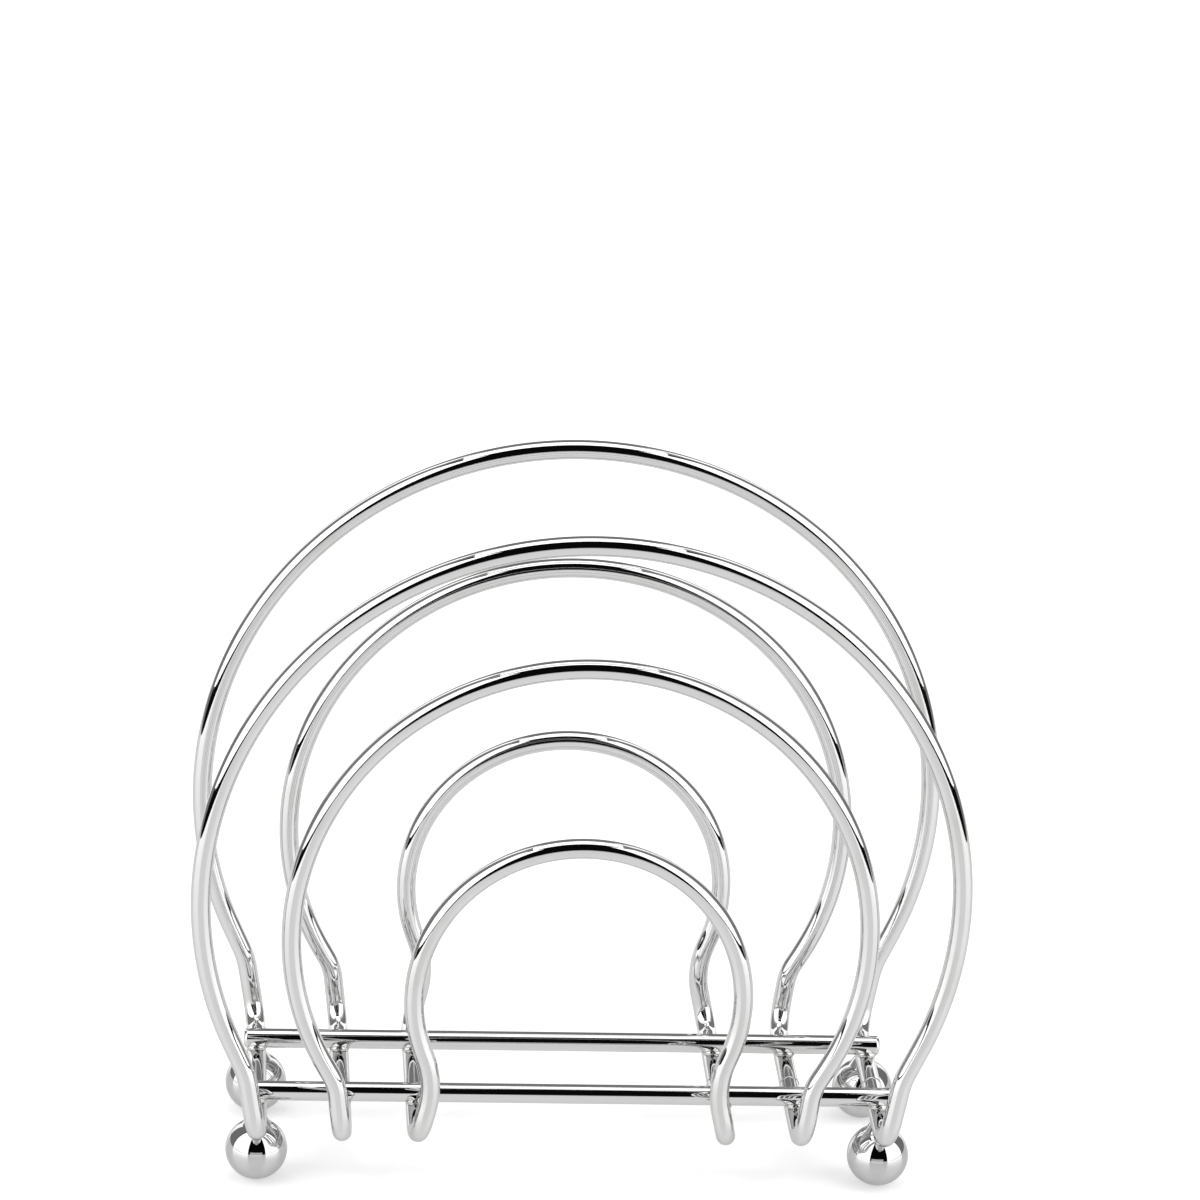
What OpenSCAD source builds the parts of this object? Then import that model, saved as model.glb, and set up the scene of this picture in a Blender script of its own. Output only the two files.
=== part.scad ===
// Wire napkin holder: three nested hoops, two cross wires and four ball feet.
// +X runs along the width, +Y from the front arches to the rear ones, +Z up.
// The origin is on the table, under the middle of the holder.

/* [Wire] */
// Diameter of the wire that the hoops and cross wires are made of
wire_d = 3; // [2:0.1:4]
// Centre line radius of the bend that turns a leg into its base run
foot_bend_r = 4.5; // [3.5:0.25:8]
// Depth that a weld sinks one piece into the other
weld_bite = 0.35; // [0.15:0.05:0.6]

/* [Depth] */
// Distance between the front and rear arches, from wire centre to wire centre
arch_pitch = 43; // [36:0.5:70]
// Distance from the end of a foot bend to the centre of the cross wire behind it
cross_setback = 7.5; // [4:0.25:9]
// Distance from the end of a foot bend to the centre of the ball foot behind it
foot_setback = 5; // [3:0.25:9]

/* [Outer hoop] */
// Centre line radius of the outer arch
outer_arch_r = 57; // [50:0.5:75]
// Angle that the outer arch runs on below its widest point, on each side
outer_wrap = 24; // [18:0.5:32]
// Straight length of the outer legs between the arch and the ankle
outer_neck = 4; // [0.5:0.25:6]
// Centre line radius of the outer ankles, which turn the legs back towards upright
outer_ankle_r = 15; // [8:0.5:30]
// Lean of the outer legs at the foot bend, outwards when positive
outer_toe = -9.5; // [-14:0.5:12]
// Straight length of the outer legs between the ankle and the foot bend
outer_leg = 4.75; // [0.5:0.25:6]

/* [Middle hoop] */
// Difference in radius between the outer and middle arches
outer_gap = 13.6; // [9:0.2:18]
// Angle that the middle arch runs on below its widest point, on each side
middle_wrap = 29.5; // [22:0.5:36]
// Straight length of the middle legs between the arch and the ankle
middle_neck = 1.5; // [0.5:0.25:6]
// Centre line radius of the middle ankles
middle_ankle_r = 9.5; // [6:0.5:20]
// Lean of the middle legs at the foot bend, outwards when positive
middle_toe = -7; // [-14:0.5:12]
// Straight length of the middle legs between the ankle and the foot bend
middle_leg = 3.25; // [0.5:0.25:6]

/* [Inner hoop] */
// Difference in radius between the middle and inner arches
middle_gap = 18.6; // [14:0.2:24]
// Angle that the inner arch runs on below its widest point, on each side
inner_wrap = 20; // [14:0.5:30]
// Straight length of the inner legs between the arch and the ankle
inner_neck = 1.5; // [0.5:0.25:6]
// Centre line radius of the inner ankles
inner_ankle_r = 14.5; // [8:0.5:25]
// Lean of the inner legs at the foot bend, outwards when positive
inner_toe = 12.5; // [-10:0.5:22]
// Straight length of the inner legs between the ankle and the foot bend
inner_leg = 1.5; // [0.5:0.25:6]

/* [Cross wires] */
// Length of each cross wire end that stands past the outer base run
cross_overhang = 0.5; // [0:0.1:4]
// Chamfer on the cut ends of the cross wires
cut_chamfer = 0.3; // [0.1:0.05:0.6]

/* [Feet] */
// Diameter of the ball feet
ball_d = 9.5; // [7:0.25:14]

/* [Hidden] */
$fn = 96;
steel = [0.78, 0.79, 0.80];

// Straight lengths of wire run on into the bends at their ends by the lap,
// and are finer than the bends by the skin on every side, so that no two surfaces coincide
lap = 0.2;
skin = 0.02;
straight_d = wire_d - 2 * skin;

// A hoop is its arch radius, wrap angle, neck length, ankle radius, toe angle and leg length
middle_arch_r = outer_arch_r - outer_gap;
inner_arch_r = middle_arch_r - middle_gap;
outer = [outer_arch_r, outer_wrap, outer_neck, outer_ankle_r, outer_toe, outer_leg];
middle = [middle_arch_r, middle_wrap, middle_neck, middle_ankle_r, middle_toe, middle_leg];
inner = [inner_arch_r, inner_wrap, inner_neck, inner_ankle_r, inner_toe, inner_leg];
hoops = [outer, middle, inner];

function arch_r(h) = h[0];
function wrap(h) = h[1];
function neck_length(h) = h[2];
function ankle_r(h) = h[3];
function toe(h) = h[4];
function leg_length(h) = h[5];

// Heights of the base runs, the cross wires and the ball centres
base_z = ball_d + wire_d / 2 - weld_bite;
cross_z = base_z + wire_d - weld_bite;
ball_z = ball_d / 2;

// Length along a leg's lean, from the ankle to the level of the base run
function lean_length(h) = leg_length(h) + foot_bend_r;
// Distance of a hoop's base runs from the middle of the holder
function base_x(h) =
    arch_r(h) * cos(wrap(h)) - neck_length(h) * sin(wrap(h))
    + ankle_r(h) * (cos(wrap(h)) - cos(toe(h))) + lean_length(h) * sin(toe(h));
// Height of a hoop's arch centre
function arch_z(h) =
    base_z + arch_r(h) * sin(wrap(h)) + neck_length(h) * cos(wrap(h))
    + ankle_r(h) * (sin(wrap(h)) + sin(toe(h))) + lean_length(h) * cos(toe(h));

// Places along the depth, from the middle of the holder
arch_y = arch_pitch / 2;
run_y = arch_y - foot_bend_r;
cross_y = run_y - cross_setback;
foot_y = run_y - foot_setback;
cross_half = base_x(outer) + wire_d / 2 + cross_overhang;

// Straight wire along +Z, and whatever comes next from its far end
module straight(length) {
    translate([0, 0, -lap]) cylinder(d = straight_d, h = length + 2 * lap);
    translate([0, 0, length]) children();
}

// Arc of wire in the XY plane, centred on the origin
module arc(radius, from, sweep) {
    rotate_extrude(start = from, angle = sweep) translate([radius, 0]) circle(d = wire_d);
}

// Bend that leaves along +Z and curves towards +X, in a plane turned about +Z,
// and whatever comes next from its far end
module bend(radius, angle, turn = 0) {
    rotate([0, 0, turn]) translate([radius, 0, 0]) {
        rotate([90, 0, 180]) arc(radius, 0, angle);
        rotate([0, angle, 0]) translate([-radius, 0, 0]) children();
    }
}

// Front arch of a hoop
module arch(h) {
    translate([0, -arch_y, arch_z(h)])
        rotate([90, 0, 0]) arc(arch_r(h), -wrap(h), 180 + 2 * wrap(h));
}

// Front right leg of a hoop, bent from the end of the arch to the start of the base run
module leg(h) {
    translate([0, -arch_y, arch_z(h)])
        rotate([180, wrap(h), 0]) translate([arch_r(h), 0, 0])
            straight(neck_length(h))
                bend(ankle_r(h), wrap(h) + toe(h))
                    straight(leg_length(h))
                        bend(foot_bend_r, 90, turn = -90);
}

// Pair of straight base runs of a hoop
module base_runs(h) {
    for (side = [-1, 1])
        translate([side * base_x(h), -run_y, base_z])
            rotate([-90, 0, 0]) straight(2 * run_y);
}

// One closed wire: front arch, base runs and rear arch
module hoop(h) {
    for (back = [0, 1]) mirror([0, back, 0]) {
        arch(h);
        for (side = [0, 1]) mirror([side, 0, 0]) leg(h);
    }
    base_runs(h);
}

// Wire with chamfered cut ends, saddled onto the base runs of every hoop
module cross_wire(y) {
    difference() {
        translate([-cross_half, y, cross_z]) rotate([0, 90, 0]) {
            cylinder(d1 = wire_d - 2 * cut_chamfer, d2 = wire_d, h = cut_chamfer);
            translate([0, 0, cut_chamfer])
                cylinder(d = wire_d, h = 2 * (cross_half - cut_chamfer));
            translate([0, 0, 2 * cross_half - cut_chamfer])
                cylinder(d1 = wire_d, d2 = wire_d - 2 * cut_chamfer, h = cut_chamfer);
        }
        for (h = hoops) base_runs(h);
    }
}

// Ball foot, saddled under an outer base run
module foot(side, y) {
    difference() {
        translate([side * base_x(outer), y, ball_z]) sphere(d = ball_d);
        base_runs(outer);
    }
}

module outer_hoop() { color(steel) hoop(outer); }
module middle_hoop() { color(steel) hoop(middle); }
module inner_hoop() { color(steel) hoop(inner); }
module front_cross_wire() { color(steel) cross_wire(-cross_y); }
module rear_cross_wire() { color(steel) cross_wire(cross_y); }
module front_left_foot() { color(steel) foot(-1, -foot_y); }
module front_right_foot() { color(steel) foot(1, -foot_y); }
module rear_left_foot() { color(steel) foot(-1, foot_y); }
module rear_right_foot() { color(steel) foot(1, foot_y); }

outer_hoop();
middle_hoop();
inner_hoop();
front_cross_wire();
rear_cross_wire();
front_left_foot();
front_right_foot();
rear_left_foot();
rear_right_foot();
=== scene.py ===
import math

import bmesh
import bpy
from mathutils import Matrix, Vector


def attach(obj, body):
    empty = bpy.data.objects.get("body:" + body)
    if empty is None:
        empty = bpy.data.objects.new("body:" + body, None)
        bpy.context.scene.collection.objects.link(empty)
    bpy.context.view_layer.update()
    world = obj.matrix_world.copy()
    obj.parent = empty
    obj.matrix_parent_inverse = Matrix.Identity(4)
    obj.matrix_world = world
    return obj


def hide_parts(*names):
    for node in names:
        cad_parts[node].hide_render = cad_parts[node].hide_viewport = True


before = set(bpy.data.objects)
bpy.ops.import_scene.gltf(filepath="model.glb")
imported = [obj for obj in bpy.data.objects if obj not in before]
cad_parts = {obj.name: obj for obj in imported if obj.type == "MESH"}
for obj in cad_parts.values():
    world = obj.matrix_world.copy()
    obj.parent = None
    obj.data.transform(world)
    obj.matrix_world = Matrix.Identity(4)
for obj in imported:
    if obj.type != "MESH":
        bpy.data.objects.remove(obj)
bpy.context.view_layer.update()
mm = 0.001
mergeGap = 0.002 * mm  # points nearer than this are one
print("frame loaded with", len(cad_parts), "nodes")


# Small helpers

def startClean():
    if bpy.context.object and bpy.context.object.mode != "OBJECT":
        bpy.ops.object.mode_set(mode="OBJECT")
    bpy.ops.object.select_all(action="DESELECT")


def enterEdit(piece):
    startClean()
    piece.select_set(True)
    bpy.context.view_layer.objects.active = piece
    bpy.ops.object.mode_set(mode="EDIT")


def leaveEdit():
    bpy.ops.object.mode_set(mode="OBJECT")


def placeInMesh(piece):
    bpy.ops.object.transform_apply(location=True, rotation=True, scale=True)
    return piece


def pickVerts(piece, test):
    # selects what lies where test says, in edit mode
    bpy.ops.mesh.select_mode(type="VERT")
    bpy.ops.mesh.select_all(action="DESELECT")
    mesh = bmesh.from_edit_mesh(piece.data)
    for vert in mesh.verts:
        vert.select_set(test(vert.co))
    mesh.select_flush_mode()
    bmesh.update_edit_mesh(piece.data)


def pickFaces(piece, test):
    bpy.ops.mesh.select_mode(type="FACE")
    bpy.ops.mesh.select_all(action="DESELECT")
    mesh = bmesh.from_edit_mesh(piece.data)
    for face in mesh.faces:
        face.select_set(test(face.calc_center_median(), face.normal))
    mesh.select_flush_mode()
    bmesh.update_edit_mesh(piece.data)


def applyModifier(piece, name):
    startClean()
    piece.select_set(True)
    bpy.context.view_layer.objects.active = piece
    bpy.ops.object.modifier_apply(modifier=name)


def closeUp(piece, angle):
    # doubles merged, faces outwards, soft shading up to the given angle
    enterEdit(piece)
    bpy.ops.mesh.select_all(action="SELECT")
    bpy.ops.mesh.remove_doubles(threshold=mergeGap)
    bpy.ops.mesh.normals_make_consistent(inside=False)
    leaveEdit()
    bpy.ops.object.shade_smooth_by_angle(angle=math.radians(angle))


def copyPiece(piece, name, offset):
    startClean()
    piece.select_set(True)
    bpy.context.view_layer.objects.active = piece
    bpy.ops.object.duplicate(linked=False)
    twin = bpy.context.object
    twin.name = twin.data.name = name
    twin.location = offset
    return placeInMesh(twin)


def hangOn(piece, node):
    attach(piece, "root")
    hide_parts(node)


# Finishes

def newGroup(name, inputs, outputs):
    group = bpy.data.node_groups.new(name, "ShaderNodeTree")
    for label, kind, value in inputs:
        socket = group.interface.new_socket(label, in_out="INPUT", socket_type=kind)
        socket.default_value = value
    for label, kind in outputs:
        group.interface.new_socket(label, in_out="OUTPUT", socket_type=kind)
    start = group.nodes.new("NodeGroupInput")
    end = group.nodes.new("NodeGroupOutput")
    return group, start, end


def addNode(tree, kind, settings=None, **sockets):
    node = tree.nodes.new(kind)
    for label, value in (settings or {}).items():
        setattr(node, label, value)
    for label, value in sockets.items():
        numbered = label[0] == "i" and label[1:].isdigit()  # i0 is the first socket, others go by name
        socket = node.inputs[int(label[1:]) if numbered else label]
        if isinstance(value, bpy.types.NodeSocket):
            tree.links.new(value, socket)
        else:
            socket.default_value = value
    return node


ripple = {"waveDetail": 1.0, "waveRoughness": 0.3, "peelDetail": 2.0, "peelRoughness": 0.5}
handling = {"smearFrom": 0.5, "smearTo": 0.75, "smearDetail": 4.0, "smearRoughness": 0.6, "smearDrag": 0.8,
            "hairFrom": 0.64, "hairTo": 0.72, "hairDetail": 3.0, "hairRoughness": 0.7,
            "wipeTurn": (0.4, 0.7, 0.2), "wipeStretch": (1.0, 0.12, 0.35)}


def makePlatingRipple():
    # long waves left by drawing and bending, and the fine peel of the plating
    group, start, end = newGroup(
        "platingRipple",
        [("Vector", "NodeSocketVector", (0, 0, 0)), ("Wave Scale", "NodeSocketFloat", 100.0),
         ("Peel Scale", "NodeSocketFloat", 1500.0), ("Peel Share", "NodeSocketFloat", 0.1)],
        [("Height", "NodeSocketFloat")])
    wave = addNode(group, "ShaderNodeTexNoise", Vector=start.outputs["Vector"],
                   Scale=start.outputs["Wave Scale"], Detail=ripple["waveDetail"],
                   Roughness=ripple["waveRoughness"])
    peel = addNode(group, "ShaderNodeTexNoise", Vector=start.outputs["Vector"],
                   Scale=start.outputs["Peel Scale"], Detail=ripple["peelDetail"],
                   Roughness=ripple["peelRoughness"])
    mixed = addNode(group, "ShaderNodeMath", {"operation": "MULTIPLY_ADD"},
                    i0=peel.outputs[0], i1=start.outputs["Peel Share"], i2=wave.outputs[0])
    group.links.new(mixed.outputs[0], end.inputs["Height"])
    return group


def makeHandling():
    # polish, faint smears from fingers, and hairlines from wiping
    group, start, end = newGroup(
        "handlingMarks",
        [("Vector", "NodeSocketVector", (0, 0, 0)), ("Polish", "NodeSocketFloat", 0.04),
         ("Smear", "NodeSocketFloat", 0.05), ("Smear Scale", "NodeSocketFloat", 60.0),
         ("Hairline", "NodeSocketFloat", 0.08), ("Hairline Scale", "NodeSocketFloat", 900.0)],
        [("Roughness", "NodeSocketFloat"), ("Smear Mask", "NodeSocketFloat")])
    smear = addNode(group, "ShaderNodeTexNoise", Vector=start.outputs["Vector"],
                    Scale=start.outputs["Smear Scale"], Detail=handling["smearDetail"],
                    Roughness=handling["smearRoughness"], Distortion=handling["smearDrag"])
    smearMask = addNode(group, "ShaderNodeMapRange", {"interpolation_type": "SMOOTHSTEP"},
                        i0=smear.outputs[0], i1=handling["smearFrom"], i2=handling["smearTo"])
    stretch = addNode(group, "ShaderNodeMapping", i0=start.outputs["Vector"],
                      Rotation=handling["wipeTurn"], Scale=handling["wipeStretch"])
    hair = addNode(group, "ShaderNodeTexNoise", Vector=stretch.outputs[0],
                   Scale=start.outputs["Hairline Scale"], Detail=handling["hairDetail"],
                   Roughness=handling["hairRoughness"])
    hairMask = addNode(group, "ShaderNodeMapRange", {"interpolation_type": "SMOOTHSTEP"},
                       i0=hair.outputs[0], i1=handling["hairFrom"], i2=handling["hairTo"])
    rough = addNode(group, "ShaderNodeMath", {"operation": "MULTIPLY_ADD"},
                    i0=smearMask.outputs[0], i1=start.outputs["Smear"], i2=start.outputs["Polish"])
    rough = addNode(group, "ShaderNodeMath", {"operation": "MULTIPLY_ADD"},
                    i0=hairMask.outputs[0], i1=start.outputs["Hairline"], i2=rough.outputs[0])
    group.links.new(rough.outputs[0], end.inputs["Roughness"])
    group.links.new(smearMask.outputs[0], end.inputs["Smear Mask"])
    return group


platingRipple = makePlatingRipple()
handlingMarks = makeHandling()

wireChrome = {"bright": (0.640, 0.643, 0.640), "smeared": (0.600, 0.598, 0.590), "edge": (0.78, 0.78, 0.78),
              "polish": 0.035, "smear": 0.03, "hairline": 0.05,
              "waveScale": 110.0, "peelShare": 0.06, "ripple": 0.012 * mm}
ballChrome = {"bright": (0.545, 0.547, 0.545), "smeared": (0.515, 0.513, 0.507), "edge": (0.78, 0.78, 0.78),
              "polish": 0.03, "smear": 0.03, "hairline": 0.04,
              "waveScale": 160.0, "peelShare": 0.08, "ripple": 0.006 * mm}
weldChrome = {"bright": (0.560, 0.556, 0.545), "smeared": (0.500, 0.490, 0.470), "edge": (0.72, 0.72, 0.72),
              "polish": 0.16, "smear": 0.12, "hairline": 0.05,
              "waveScale": 420.0, "peelShare": 0.35, "ripple": 0.05 * mm}


def plate(name, finish):
    chrome = bpy.data.materials.new(name)
    chrome.use_nodes = True
    tree = chrome.node_tree
    shader = tree.nodes["Principled BSDF"]
    shader.inputs["Metallic"].default_value = 1.0
    shader.inputs["Specular Tint"].default_value = (*finish["edge"], 1.0)
    place = addNode(tree, "ShaderNodeTexCoord").outputs["Object"]
    marks = addNode(tree, "ShaderNodeGroup", {"node_tree": handlingMarks}, Vector=place,
                    Polish=finish["polish"], Smear=finish["smear"], Hairline=finish["hairline"])
    tone = addNode(tree, "ShaderNodeMix", {"data_type": "RGBA"}, i0=marks.outputs["Smear Mask"],
                   i6=(*finish["bright"], 1.0), i7=(*finish["smeared"], 1.0))
    waves = addNode(tree, "ShaderNodeGroup", {"node_tree": platingRipple}, Vector=place)
    waves.inputs["Wave Scale"].default_value = finish["waveScale"]
    waves.inputs["Peel Share"].default_value = finish["peelShare"]
    bump = addNode(tree, "ShaderNodeBump", Strength=1.0, Distance=finish["ripple"],
                   Height=waves.outputs["Height"])
    tree.links.new(tone.outputs[2], shader.inputs["Base Color"])
    tree.links.new(marks.outputs["Roughness"], shader.inputs["Roughness"])
    tree.links.new(bump.outputs["Normal"], shader.inputs["Normal"])
    return chrome


platedWire = plate("platedWire", wireChrome)
platedBall = plate("platedBall", ballChrome)
platedWeld = plate("platedWeld", weldChrome)
print("finishes made")


# The wire that every hoop and cross wire is made of

wire = {"radius": 1.5 * mm, "sides": 40, "archPitch": 43 * mm, "baseHeight": 10.65 * mm,
        "footBend": 4.5 * mm, "footBendSteps": 20, "softTo": 40}
frontY = -wire["archPitch"] / 2
runY = frontY + wire["footBend"]

outerHoop = {"name": "outerHoop", "node": "outer_hoop", "archRadius": 57 * mm, "wrap": 24,
             "neck": 4 * mm, "ankleRadius": 15 * mm, "toe": -9.5, "leg": 4.75 * mm,
             "archSteps": 112, "ankleSteps": 12}
middleHoop = {"name": "middleHoop", "node": "middle_hoop", "archRadius": 43.4 * mm, "wrap": 29.5,
              "neck": 1.5 * mm, "ankleRadius": 9.5 * mm, "toe": -7, "leg": 3.25 * mm,
              "archSteps": 96, "ankleSteps": 12}
innerHoop = {"name": "innerHoop", "node": "inner_hoop", "archRadius": 24.8 * mm, "wrap": 20,
             "neck": 1.5 * mm, "ankleRadius": 14.5 * mm, "toe": 12.5, "leg": 1.5 * mm,
             "archSteps": 72, "ankleSteps": 14}
buttWeld = {"halfWidth": 0.45 * mm, "crest": 0.135 * mm, "swell": 1.05, "segments": 6}


def turnWire(centre, axis, angle, steps):
    # spin turns against the right-hand rule, hence the minus
    bpy.ops.mesh.spin(steps=steps, angle=-angle, center=centre, axis=axis)


def runWire(along):
    bpy.ops.mesh.extrude_region_move(TRANSFORM_OT_translate={"value": along})


def bendHoop(hoop):
    arch, wrap = hoop["archRadius"], math.radians(hoop["wrap"])
    ankle, toe = hoop["ankleRadius"], math.radians(hoop["toe"])
    neckWay = Vector((-math.sin(wrap), 0, -math.cos(wrap)))
    legWay = Vector((math.sin(toe), 0, -math.cos(toe)))
    neck, leg = hoop["neck"], hoop["leg"]
    archHeight = (wire["baseHeight"] + arch * math.sin(wrap) + neck * math.cos(wrap)
                  + ankle * (math.sin(wrap) + math.sin(toe)) + (leg + wire["footBend"]) * math.cos(toe))
    middle = Vector((0, frontY, archHeight))

    # a quarter of the closed wire: crown, right leg, foot bend and half a base run
    startClean()
    bpy.ops.mesh.primitive_circle_add(vertices=wire["sides"], radius=wire["radius"],
                                      location=middle + Vector((0, 0, arch)), rotation=(0, math.pi / 2, 0))
    piece = placeInMesh(bpy.context.object)
    piece.name = piece.data.name = hoop["name"]
    enterEdit(piece)
    bpy.ops.mesh.select_all(action="SELECT")
    turnWire(middle, (0, 1, 0), math.pi / 2 + wrap, hoop["archSteps"])
    here = middle + arch * Vector((math.cos(wrap), 0, -math.sin(wrap)))
    runWire(neck * neckWay)
    here += neck * neckWay
    elbow = here + ankle * Vector((math.cos(wrap), 0, -math.sin(wrap)))
    turnWire(elbow, (0, 1, 0), -(wrap + toe), hoop["ankleSteps"])
    here = elbow - ankle * Vector((math.cos(toe), 0, math.sin(toe)))
    runWire(leg * legWay)
    here += leg * legWay
    heel = here + Vector((0, wire["footBend"], 0))
    turnWire(heel, legWay.cross(Vector((0, 1, 0))), math.pi / 2, wire["footBendSteps"])
    here += wire["footBend"] * legWay
    runWire((0, -runY, 0))
    leaveEdit()

    mirror = piece.modifiers.new("fourQuarters", "MIRROR")
    mirror.use_axis = (True, True, False)
    mirror.merge_threshold = mergeGap
    applyModifier(piece, mirror.name)

    # the ends of the wire meet in a butt weld in the right base run
    def nearJoint(reach):
        aboveRun = wire["baseHeight"] + 2 * wire["radius"]
        return lambda co: co.x > 0 and abs(co.y) < reach and co.z < aboveRun

    enterEdit(piece)
    bpy.ops.mesh.select_all(action="SELECT")
    bpy.ops.mesh.remove_doubles(threshold=mergeGap)
    pickVerts(piece, nearJoint(mergeGap))
    bpy.ops.mesh.bevel(offset=buttWeld["halfWidth"], offset_type="OFFSET", segments=buttWeld["segments"],
                       affect="EDGES")
    pickVerts(piece, nearJoint(buttWeld["crest"]))
    bpy.ops.transform.resize(value=(buttWeld["swell"], 1, buttWeld["swell"]),
                             center_override=(here.x, 0, wire["baseHeight"]))
    leaveEdit()
    closeUp(piece, wire["softTo"])
    piece.data.materials.append(platedWire)
    hangOn(piece, hoop["node"])
    return here.x


baseXs = [bendHoop(hoop) for hoop in (outerHoop, middleHoop, innerHoop)]
print("hoops bent, base runs at", [round(x / mm, 2) for x in baseXs], "mm")


# Cross wires, welded on top of the base runs

crossWire = {"height": 13.3 * mm, "y": 9.5 * mm, "overhang": 0.5 * mm,
             "endFacing": 0.9, "endRound": 0.55 * mm, "endSegments": 5}
nugget = {"along": 3.3 * mm, "across": 3.0 * mm, "thick": 2.0 * mm, "segments": 40, "rings": 24,
          "turns": (14, -22, 9, -12, 25, -16)}  # degrees, from the outer hoop's welds to the inner one's


def layCrossWire(name, node, y):
    half = baseXs[0] + wire["radius"] + crossWire["overhang"]
    startClean()
    bpy.ops.mesh.primitive_cylinder_add(vertices=wire["sides"], radius=wire["radius"], depth=2 * half,
                                        location=(0, y, crossWire["height"]), rotation=(0, math.pi / 2, 0))
    piece = placeInMesh(bpy.context.object)
    piece.name = piece.data.name = name
    enterEdit(piece)
    pickFaces(piece, lambda centre, normal: abs(normal.x) > crossWire["endFacing"])
    bpy.ops.mesh.bevel(offset=crossWire["endRound"], segments=crossWire["endSegments"], affect="EDGES")
    leaveEdit()
    closeUp(piece, wire["softTo"])

    piece.data.materials.append(platedWire)
    weldHeight = (wire["baseHeight"] + crossWire["height"]) / 2
    for turn, x in zip(nugget["turns"], [side * baseX for baseX in baseXs for side in (-1, 1)]):
        startClean()
        bpy.ops.mesh.primitive_uv_sphere_add(segments=nugget["segments"], ring_count=nugget["rings"],
                                             radius=0.5,  # scaled to the bead's full sizes
                                             location=(x, y, weldHeight), rotation=(0, 0, math.radians(turn)),
                                             scale=(nugget["along"], nugget["across"], nugget["thick"]))
        bead = placeInMesh(bpy.context.object)
        bead.data.materials.append(platedWeld)
        weld = piece.modifiers.new("weld", "BOOLEAN")
        weld.operation, weld.object, weld.solver = "UNION", bead, "EXACT"
        weld.material_mode = "TRANSFER"
        applyModifier(piece, weld.name)
        bpy.data.objects.remove(bead)
    closeUp(piece, wire["softTo"])
    hangOn(piece, node)


layCrossWire("frontCrossWire", "front_cross_wire", -crossWire["y"])
layCrossWire("rearCrossWire", "rear_cross_wire", crossWire["y"])
print("cross wires laid")


# Ball feet, each with the collar of its weld

ball = {"radius": 4.75 * mm, "y": 12 * mm, "segments": 72, "rings": 48, "softTo": 50, "collar": 1.75 * mm,
        "collarSteps": ((0.12 * mm, 0.90), (0.18 * mm, 0.92), (0.30 * mm, 0.97), (0.35 * mm, 1.02))}


def turnBall():
    startClean()
    bpy.ops.mesh.primitive_uv_sphere_add(segments=ball["segments"], ring_count=ball["rings"],
                                         radius=ball["radius"], location=(0, 0, ball["radius"]))
    piece = placeInMesh(bpy.context.object)
    enterEdit(piece)
    bpy.ops.mesh.select_all(action="SELECT")
    rim = ball["radius"] + math.sqrt(ball["radius"] ** 2 - ball["collar"] ** 2)
    bpy.ops.mesh.bisect(plane_co=(0, 0, rim), plane_no=(0, 0, 1), clear_outer=True)
    for rise, narrow in ball["collarSteps"]:
        runWire((0, 0, rise))
        bpy.ops.transform.resize(value=(narrow, narrow, 1), center_override=(0, 0, 0))
    bpy.ops.mesh.edge_face_add()
    leaveEdit()
    closeUp(piece, ball["softTo"])
    return piece


firstBall = turnBall()
for name, node, sideX, sideY in (("frontLeftFoot", "front_left_foot", -1, -1),
                                 ("frontRightFoot", "front_right_foot", 1, -1),
                                 ("rearLeftFoot", "rear_left_foot", -1, 1),
                                 ("rearRightFoot", "rear_right_foot", 1, 1)):
    foot = copyPiece(firstBall, name, (sideX * baseXs[0], sideY * ball["y"], 0))
    foot.data.materials.append(platedBall)
    hangOn(foot, node)
bpy.data.objects.remove(firstBall)
print("ball feet set")


# Camera, as the photograph was taken

shot = {"look": Vector((0.55, -21.5, 98.87)) * mm, "distance": 850 * mm, "elevation": 20.5, "azimuth": -4.23,
        "roll": 2.48, "lens": 174.1, "sensor": 36.0}


def setCamera():
    elevation, azimuth, roll = (math.radians(shot[key]) for key in ("elevation", "azimuth", "roll"))
    back = Vector((math.sin(azimuth) * math.cos(elevation), -math.cos(azimuth) * math.cos(elevation),
                   math.sin(elevation)))
    right = Vector((math.cos(azimuth), math.sin(azimuth), 0))
    up = back.cross(right)
    rolledRight = math.cos(roll) * right + math.sin(roll) * up
    rolledUp = math.cos(roll) * up - math.sin(roll) * right
    startClean()
    bpy.ops.object.camera_add()
    camera = bpy.context.object
    camera.matrix_world = (Matrix.Translation(shot["look"] + shot["distance"] * back)
                           @ Matrix((rolledRight, rolledUp, back)).transposed().to_4x4())
    camera.data.sensor_fit = "HORIZONTAL"
    camera.data.sensor_width = shot["sensor"]
    camera.data.lens = shot["lens"]
    bpy.context.scene.camera = camera


setCamera()
print("camera set")


# Studio: pale floor with a table top on it, two tall panels beside the camera, two strips behind,
# a top light, a low card below the lens and dim walls

studio = {"floorSize": 14.0, "floorDrop": 0.5 * mm, "worldLight": 0.16,
          "wattsPerGlow": 4}  # for a square metre of lamp that looks as bright as white
table = {"halfWidth": 0.33, "reach": 0.9, "sides": 128, "polish": 0.2, "gloss": 0.5,
         "seenColour": (0.80, 0.80, 0.80), "mirroredColour": (0.40, 0.40, 0.40), "mirroredGlow": 0.56,
         "seenGlow": 0.37, "farGlow": 0.65, "farFrom": 0.10, "farTo": 1.20}
panel = {"turn": 63.5, "distance": 1.25, "width": 1.53, "foot": 0.002, "top": 2.75, "glow": 1.65}
strip = {"turn": 148.0, "distance": 1.6, "width": 0.5, "foot": 0.02, "top": 2.2, "glow": 1.2}
topLight = {"height": 1.25, "halfWidth": 0.47, "front": -0.30, "rear": 0.58, "glow": 1.7}
card = {"x": -0.058, "y": -0.82, "halfWidth": 0.33, "top": 0.12, "glow": 0.7}
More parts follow.
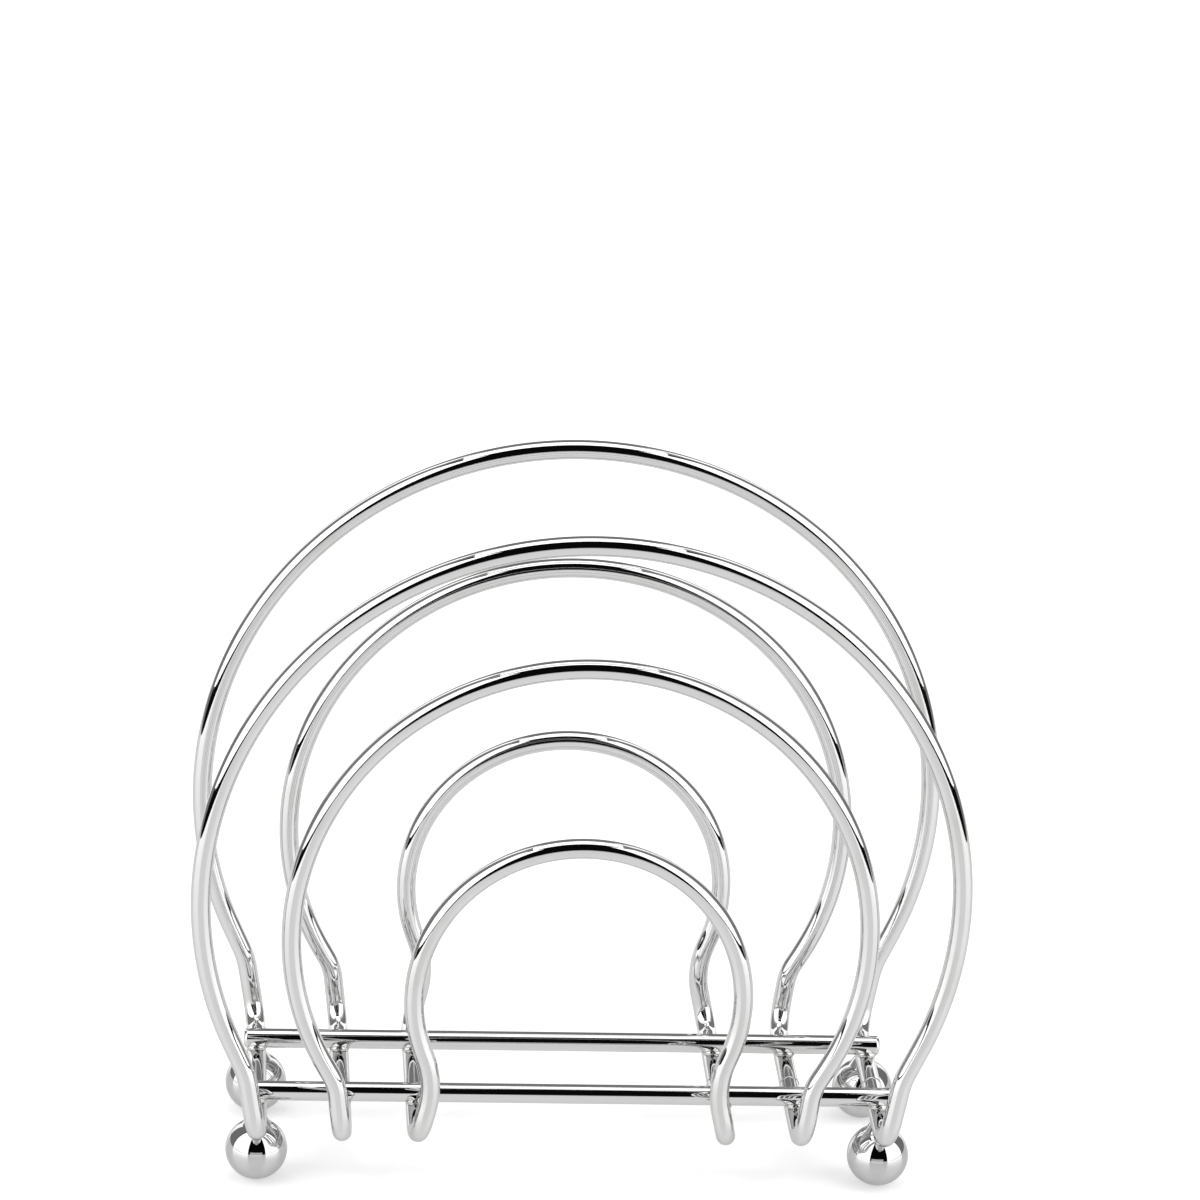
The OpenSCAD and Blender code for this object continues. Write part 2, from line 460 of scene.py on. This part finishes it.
room = {"radius": 9.0, "segments": 120, "rings": 60, "frontShade": 0.004, "rearShade": 0.26,
        "rearFrom": 96.0, "lowest": -12.0}


def paleFinish():
    # near white to the eye and evenly pale in the metal, with a satin sheen that only the metal shows
    pale = bpy.data.materials.new("paleTop")
    pale.use_nodes = True
    tree = pale.node_tree
    shader = tree.nodes["Principled BSDF"]
    shader.inputs["Roughness"].default_value = table["polish"]
    path = addNode(tree, "ShaderNodeLightPath")
    mirrored = addNode(tree, "ShaderNodeMath", {"operation": "MAXIMUM"}, i0=path.outputs["Is Glossy Ray"],
                       i1=path.outputs["Is Transmission Ray"])
    tone = addNode(tree, "ShaderNodeMix", {"data_type": "RGBA"}, i0=mirrored.outputs[0],
                   i6=(*table["seenColour"], 1.0), i7=(*table["mirroredColour"], 1.0))
    tree.links.new(tone.outputs[2], shader.inputs["Base Color"])
    unseen = addNode(tree, "ShaderNodeMath", {"operation": "SUBTRACT"},
                     i0=1.0, i1=path.outputs["Is Camera Ray"])
    sheen = addNode(tree, "ShaderNodeMath", {"operation": "MULTIPLY"},
                    i0=unseen.outputs[0], i1=table["gloss"])
    tree.links.new(sheen.outputs[0], shader.inputs["Specular IOR Level"])

    # the eye sees a little more glow far from the holder, where the lamps fall off
    reach = addNode(tree, "ShaderNodeVectorMath", {"operation": "LENGTH"},
                    i0=addNode(tree, "ShaderNodeTexCoord").outputs["Object"])
    seen = addNode(tree, "ShaderNodeMapRange", {"interpolation_type": "SMOOTHSTEP"},
                   i0=reach.outputs["Value"], i1=table["farFrom"], i2=table["farTo"],
                   i3=table["seenGlow"], i4=table["seenGlow"] + table["farGlow"])
    seen = addNode(tree, "ShaderNodeMath", {"operation": "MULTIPLY"}, i0=seen.outputs[0],
                   i1=path.outputs["Is Camera Ray"])
    glow = addNode(tree, "ShaderNodeMath", {"operation": "MULTIPLY_ADD"}, i0=mirrored.outputs[0],
                   i1=table["mirroredGlow"], i2=seen.outputs[0])
    light = addNode(tree, "ShaderNodeEmission", Strength=glow.outputs[0])
    both = addNode(tree, "ShaderNodeAddShader", i0=shader.outputs[0], i1=light.outputs[0])
    tree.links.new(both.outputs[0], tree.nodes["Material Output"].inputs["Surface"])
    return pale


def layTable():
    # the metal shows only the table top, the eye sees the floor run on around it
    pale = paleFinish()
    startClean()
    bpy.ops.mesh.primitive_circle_add(vertices=table["sides"], radius=1, fill_type="NGON")
    top = bpy.context.object
    top.scale = (table["halfWidth"], table["reach"], 1)
    placeInMesh(top)
    top.name = "tableTop"
    startClean()
    bpy.ops.mesh.primitive_plane_add(size=studio["floorSize"], location=(0, 0, -studio["floorDrop"]))
    floor = placeInMesh(bpy.context.object)
    floor.name = "floor"
    floor.visible_glossy = False
    for ground in (top, floor):
        ground.data.materials.append(pale)


def hangLight(name, place, facing, width, height, glow):
    startClean()
    bpy.ops.object.light_add(type="AREA", location=place)
    lamp = bpy.context.object
    lamp.name = name
    lamp.rotation_euler = Vector(facing).to_track_quat("-Z", "Y").to_euler()
    lamp.data.shape = "RECTANGLE"
    lamp.data.size, lamp.data.size_y = width, height
    lamp.data.energy = glow * studio["wattsPerGlow"] * width * height
    lamp.visible_camera = False


def standPanels(kind, spec):
    for side in (-1, 1):
        turn = math.radians(spec["turn"])
        way = Vector((side * math.sin(turn), -math.cos(turn), 0))
        middle = way * spec["distance"] + Vector((0, 0, (spec["foot"] + spec["top"]) / 2))
        hangLight(kind + ("Left" if side < 0 else "Right"), middle, -way, spec["width"],
                  spec["top"] - spec["foot"], spec["glow"])


def glowPaint(name, glow):
    paint = bpy.data.materials.new(name)
    paint.use_nodes = True
    shader = paint.node_tree.nodes["Principled BSDF"]
    shader.inputs["Base Color"].default_value = (0, 0, 0, 1)
    shader.inputs["Specular IOR Level"].default_value = 0.0
    shader.inputs["Emission Color"].default_value = (1, 1, 1, 1)
    shader.inputs["Emission Strength"].default_value = glow
    return paint


def showInMetalOnly(prop):
    prop.visible_camera = prop.visible_diffuse = prop.visible_shadow = False
    prop.visible_transmission = prop.visible_volume_scatter = False


def standCard():
    # low white card below the lens, which gives the balls a bright notch
    startClean()
    bpy.ops.mesh.primitive_plane_add(size=1, location=(card["x"], card["y"], card["top"] / 2),
                                     rotation=(math.pi / 2, 0, 0))
    board = bpy.context.object
    board.scale = (2 * card["halfWidth"], card["top"], 1)
    placeInMesh(board)
    board.name = "lensCard"
    board.data.materials.append(glowPaint("cardWhite", card["glow"]))
    showInMetalOnly(board)


def raiseRoom():
    # walls and ceiling, dark in front and grey behind, that only the metal shows
    startClean()
    bpy.ops.mesh.primitive_uv_sphere_add(segments=room["segments"], ring_count=room["rings"],
                                         radius=room["radius"])
    walls = bpy.context.object
    walls.name = "roomWalls"
    for name, shade in (("darkWall", room["frontShade"]), ("greyWall", room["rearShade"])):
        walls.data.materials.append(glowPaint(name, shade))
    rear = math.cos(math.radians(room["rearFrom"]))
    enterEdit(walls)
    pickFaces(walls, lambda centre, normal: -centre.y < rear * centre.length)
    walls.active_material_index = 1
    bpy.ops.object.material_slot_assign()
    lowest = math.sin(math.radians(room["lowest"])) * room["radius"]
    pickFaces(walls, lambda centre, normal: centre.z < lowest)
    bpy.ops.mesh.delete(type="FACE")
    leaveEdit()
    showInMetalOnly(walls)


def lightWorld():
    # a dim even light, white where the eye or the metal meets it
    world = bpy.context.scene.world or bpy.data.worlds.new("studio")
    bpy.context.scene.world = world
    world.use_nodes = True
    tree = world.node_tree
    sky = tree.nodes["Background"]
    sky.inputs["Color"].default_value = (1, 1, 1, 1)
    path = addNode(tree, "ShaderNodeLightPath")
    either = addNode(tree, "ShaderNodeMath", {"operation": "MAXIMUM"},
                     i0=path.outputs["Is Camera Ray"], i1=path.outputs["Is Glossy Ray"])
    either = addNode(tree, "ShaderNodeMath", {"operation": "MAXIMUM"},
                     i0=either.outputs[0], i1=path.outputs["Is Transmission Ray"])
    strength = addNode(tree, "ShaderNodeMix", {"data_type": "FLOAT"}, i0=either.outputs[0],
                       i2=studio["worldLight"], i3=1.0)
    tree.links.new(strength.outputs[0], sky.inputs["Strength"])


layTable()
raiseRoom()
standCard()
lightWorld()
standPanels("panel", panel)
standPanels("strip", strip)
hangLight("topLight", (0, (topLight["front"] + topLight["rear"]) / 2, topLight["height"]), (0, 0, -1),
          2 * topLight["halfWidth"], topLight["rear"] - topLight["front"], topLight["glow"])
bpy.context.scene.view_settings.view_transform = "Standard"
print("studio lit")
